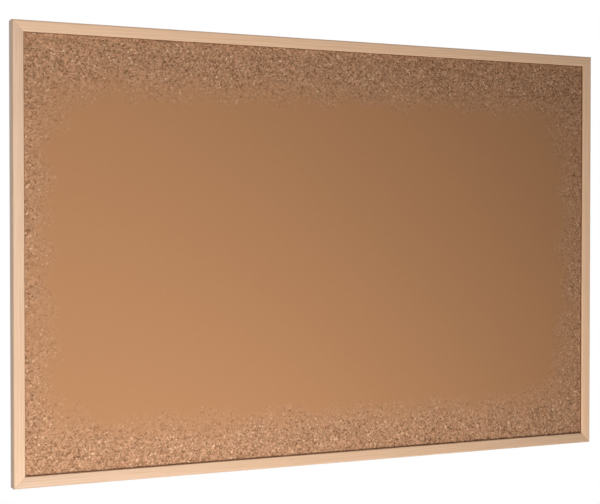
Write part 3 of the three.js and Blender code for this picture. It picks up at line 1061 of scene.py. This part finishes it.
def wire_tree():
    """Sweeps a round wire along a line."""
    tree, start, end = new_geometry_tree("bent_wire", [
        ("Wire Radius", "Float"), ("Wire Sides", "Int"), ("Finish", "Material"),
    ])
    line = add_node(tree, "GeometryNodeMeshToCurve", {0: start["Geometry"]}).outputs[0]
    inputs = {"Resolution": start["Wire Sides"], "Radius": start["Wire Radius"]}
    section = add_node(tree, "GeometryNodeCurvePrimitiveCircle", inputs).outputs[0]
    inputs = {"Curve": line, "Profile Curve": section, "Fill Caps": True}
    wire = add_node(tree, "GeometryNodeCurveToMesh", inputs).outputs[0]
    end_tree(tree, wire, start["Finish"], end)
    return tree


def hanger_ring(side, tree, finish):
    node = side + "_ring"
    path = ring_path(node)
    line = bpy.data.meshes.new(node + "_line")
    line.from_pydata(path, [(i, i + 1) for i in range(len(path) - 1)], [])
    values = {"Wire Radius": WIRE_RADIUS, "Wire Sides": WIRE_SIDES, "Finish": finish}
    mesh = run_tree(tree, new_object(node + "_line", line), values)
    smooth_below(mesh, STEEL_CREASE)
    fit_piece(node + "_wire", mesh, side + "_hanger_ring", "nickel_steel", node)


def softened(node, finish):
    """A copy of a CAD node's mesh with its edges a little rounded."""
    bm = bmesh.new()
    bm.from_mesh(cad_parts[node].data)
    bmesh.ops.remove_doubles(bm, verts=bm.verts, dist=SAME_PLACE)
    bmesh.ops.dissolve_limit(bm, angle_limit=math.radians(SAME_FACE), verts=bm.verts, edges=bm.edges)
    sharp = math.radians(STRAP_EDGE)
    edges = [edge for edge in bm.edges if edge.is_manifold and edge.calc_face_angle() > sharp]
    round_edges(bm, edges, STRAP_ARRIS, clamped=True)
    mesh = mesh_from(bm, node + "_soft")
    mesh.materials.append(finish)
    smooth_below(mesh, STRAP_CREASE)
    return mesh


def hangers(finish):
    tree = wire_tree()
    for side in ("left", "right"):
        hanger_ring(side, tree, finish)
        for part in ("strap", "rivet"):
            node = side + "_" + part
            fit_piece(node + "_steel", softened(node, finish), "board", "nickel_steel", node)


def paint_nodes(names, finish):
    """Gives CAD nodes that keep their shape a finish."""
    for name in names:
        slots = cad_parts[name].data.materials
        slots.clear()
        slots.append(finish)


# Stage

def seen_directly(tree):
    """1 where the camera sees a surface itself, in a mirror or through glass."""
    rays = add_node(tree, "ShaderNodeLightPath").outputs
    seen = maths(tree, "MAXIMUM", rays["Is Camera Ray"], rays["Is Glossy Ray"])
    return maths(tree, "MAXIMUM", seen, rays["Is Transmission Ray"])


def pale_floor():
    """Pale and matt, white towards the rim and clear from below."""
    material = bpy.data.materials.new("pale_floor")
    material.use_nodes = True
    tree = material.node_tree
    tree.nodes.clear()
    inputs = {0: object_place(tree), 1: (1, 1, 0)}
    level = add_node(tree, "ShaderNodeVectorMath", inputs, operation="MULTIPLY").outputs[0]
    reach = add_node(tree, "ShaderNodeVectorMath", {0: level}, operation="LENGTH").outputs["Value"]
    rim = ramp(tree, reach, FLOOR_FADES, FLOOR_WHITE)
    seen = seen_directly(tree)
    matt = add_node(tree, "ShaderNodeBsdfDiffuse", {"Color": rgb(0.88, 0.88, 0.87)}).outputs[0]
    lift = add_node(tree, "ShaderNodeEmission", {"Strength": times(tree, seen, FLOOR_LIFT)}).outputs[0]
    lifted = add_node(tree, "ShaderNodeAddShader", {0: matt, 1: lift}).outputs[0]
    white = add_node(tree, "ShaderNodeEmission", {"Strength": 1.0}).outputs[0]
    inputs = {0: times(tree, rim, seen), 1: lifted, 2: white}
    upper = add_node(tree, "ShaderNodeMixShader", inputs).outputs[0]
    below = add_node(tree, "ShaderNodeNewGeometry").outputs["Backfacing"]
    clear = add_node(tree, "ShaderNodeBsdfTransparent").outputs[0]
    surface = add_node(tree, "ShaderNodeMixShader", {0: below, 1: upper, 2: clear}).outputs[0]
    output = tree.nodes.new("ShaderNodeOutputMaterial")
    tree.links.new(surface, output.inputs["Surface"])
    return material


def studio_floor():
    """A plain round floor well below the hanging board."""
    bm = bmesh.new()
    bmesh.ops.create_circle(bm, cap_ends=True, segments=FLOOR_SIDES, radius=FLOOR_RADIUS)
    under = (board_middle.x, board_middle.y, board_low.z - FLOOR_DROP)
    bmesh.ops.translate(bm, vec=under, verts=bm.verts)
    floor = new_object("floor", mesh_from(bm, "floor"))
    floor.data.materials.append(pale_floor())


def softbox(name, size, power, from_face, aim):
    light = bpy.data.lights.new(name, "AREA")
    light.shape = "SQUARE"
    light.size = size
    light.energy = power
    lamp = new_object(name, light)
    lamp.location = face_middle + from_face
    lamp.rotation_euler = (aim - from_face).to_track_quat("-Z", "Y").to_euler()
    lamp.visible_camera = False


def studio_light():
    """A soft box on the left, a small one low in front, and a surround that is brighter behind the board."""
    softbox("main_softbox", MAIN_SIZE, MAIN_POWER, MAIN_FROM_FACE, MAIN_AIM)
    softbox("low_softbox", LOW_SIZE, LOW_POWER, LOW_FROM_FACE, LOW_AIM)
    world = bpy.data.worlds.new("studio")
    world.use_nodes = True
    bpy.context.scene.world = world
    tree = world.node_tree
    direction = add_node(tree, "ShaderNodeTexCoord").outputs["Generated"]
    fill = ramp(tree, parted(tree, direction)["Y"], 0.0, REAR_FROM, FRONT_FILL, REAR_FILL)
    inputs = {0: seen_directly(tree), 2: fill, 3: 1.0}
    strength = add_node(tree, "ShaderNodeMix", inputs, data_type="FLOAT").outputs[0]
    fill_inputs(tree, tree.nodes["Background"], {"Color": rgb(1, 1, 1), "Strength": strength})


def photo_camera():
    lens = bpy.data.cameras.new("photo_camera")
    lens.sensor_fit = "HORIZONTAL"
    lens.sensor_width = SENSOR_WIDTH
    lens.lens = FOCAL_PIXELS * SENSOR_WIDTH / IMAGE_WIDTH
    camera = new_object("photo_camera", lens)
    camera.location = face_middle + CAMERA_FROM_FACE
    camera.rotation_euler = (math.radians(90 + CAMERA_PITCH), 0, math.radians(CAMERA_YAW))
    bpy.context.scene.camera = camera


def main():
    bpy.context.scene.view_settings.view_transform = "Standard"
    photo_camera()
    studio_light()
    studio_floor()
    blued = blued_steel()
    points = sorted(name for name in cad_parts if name.startswith("point_"))
    nails = sorted(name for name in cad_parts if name.startswith("v_nail_"))
    frame_sides(lacquered_pine(), points)
    cork_sheet(cork_granulate())
    framers_points(blued, points)
    hangers(nickel_steel())
    paint_nodes(nails, blued)
    paint_nodes(["core_board"], soft_fibreboard())
    paint_nodes(["back_board"], screen_backed_hardboard())


main()
